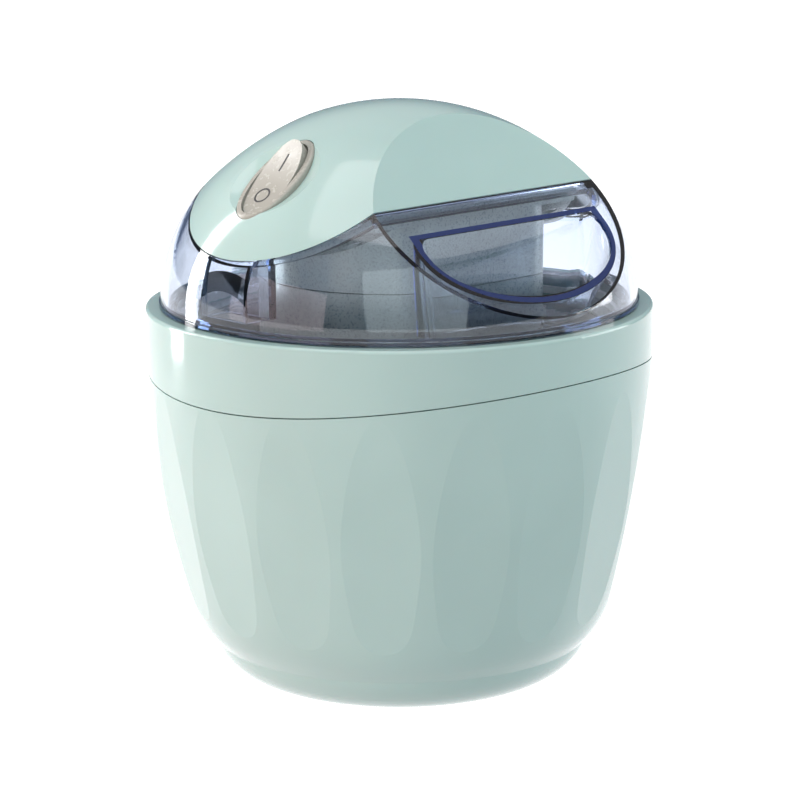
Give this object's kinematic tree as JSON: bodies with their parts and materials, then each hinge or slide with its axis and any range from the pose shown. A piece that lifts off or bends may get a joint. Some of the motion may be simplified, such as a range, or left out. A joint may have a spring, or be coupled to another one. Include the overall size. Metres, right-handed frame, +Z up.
{
  "type": "ice cream maker",
  "caption": "Small round ice cream maker: faceted mint housing, freezer bowl with paddle, clear dome lid with a feed opening, and a motor unit with a rocker switch on top.",
  "frame": {"origin": "centre of the base on the plane the rubber feet stand on", "axes": "+Z up, the rocker switch faces -Y, the feed opening in the lid faces +X"},
  "size_m": [0.168, 0.168, 0.1943],
  "materials": {
    "mint_plastic": "gloss",
    "clear_plastic": "clear gloss",
    "grey_plastic": "satin",
    "white_plastic": "satin",
    "cream_plastic": "semi-gloss",
    "dark_plastic": "satin",
    "aluminium": "fine brushed",
    "coolant": "frozen gel",
    "rubber": "matte",
    "silicone": "matte",
    "steel": "machined",
    "acetal": "satin",
    "bronze": "sintered",
    "mark_ink": "matte"
  },
  "bodies": {
    "base": {"rim_collar": "mint_plastic", "outer_housing": "mint_plastic", "bowl_cradle": "white_plastic", "base_plate": "white_plastic", "base_screws": "steel", "rubber_feet": "rubber"},
    "freezer_bowl": {"bowl_inner_wall": "aluminium", "bowl_outer_wall": "white_plastic", "coolant_fill": "coolant", "bowl_rim_ring": "grey_plastic", "bowl_seal": "silicone"},
    "lid": {"clear_lid": "clear_plastic", "lid_gasket": "silicone"},
    "motor_unit": {"motor_cover": "mint_plastic", "motor_base": "grey_plastic", "cover_screws": "steel", "gear_cap": "grey_plastic", "gear_pins": "steel", "shaft_bushing": "bronze", "shaft_seal": "rubber", "motor_plate": "steel", "motor_can": "steel", "motor_screws": "steel", "switch_bezel": "cream_plastic", "cord_gland": "rubber"},
    "rotor": {"motor_pinion": "steel"},
    "first_reduction": {"first_gear": "acetal"},
    "second_reduction": {"second_gear": "acetal"},
    "output": {"output_gear": "acetal"},
    "rocker": {"switch_rocker": "cream_plastic", "switch_marks": "mark_ink"},
    "paddle": {"paddle": "dark_plastic"}
  },
  "joints": [
    {"name": "bowl_lift", "type": "slide", "parent": "base", "child": "freezer_bowl", "axis": [0, 0, 1], "range_m": [0, 0.14]},
    {"name": "lid_lift", "type": "slide", "parent": "freezer_bowl", "child": "lid", "axis": [0, 0, 1], "range_m": [0, 0.09]},
    {"name": "motor_lift", "type": "slide", "parent": "lid", "child": "motor_unit", "axis": [0, 0, 1], "range_m": [0, 0.09]},
    {"name": "switch_press", "type": "hinge", "parent": "motor_unit", "child": "rocker", "pos_m": [0, -0.05239, 0.17274], "axis": [-1, 0, 0], "range_deg": [0, 15]},
    {"name": "output_spin", "type": "hinge", "parent": "motor_unit", "child": "output", "pos_m": [0, 0, 0.125], "axis": [0, 0, 1], "continuous": true},
    {"name": "second_spin", "type": "hinge", "parent": "motor_unit", "child": "second_reduction", "pos_m": [-0.01694, -0.00617, 0.125], "axis": [0, 0, 1], "continuous": true},
    {"name": "first_spin", "type": "hinge", "parent": "motor_unit", "child": "first_reduction", "pos_m": [-0.01589, 0.00883, 0.135], "axis": [0, 0, 1], "continuous": true},
    {"name": "motor_spin", "type": "hinge", "parent": "motor_unit", "child": "rotor", "pos_m": [-0.00147, 0.01304, 0.145], "axis": [0, 0, 1], "continuous": true},
    {"name": "paddle_spin", "type": "hinge", "parent": "freezer_bowl", "child": "paddle", "pos_m": [0, 0, 0.06], "axis": [0, 0, 1], "continuous": true}
  ],
  "couplings": [
    {"joint": "output_spin", "follows": "paddle_spin", "ratio": 1},
    {"joint": "second_spin", "follows": "paddle_spin", "ratio": -5},
    {"joint": "first_spin", "follows": "paddle_spin", "ratio": 20},
    {"joint": "motor_spin", "follows": "paddle_spin", "ratio": -80}
  ]
}
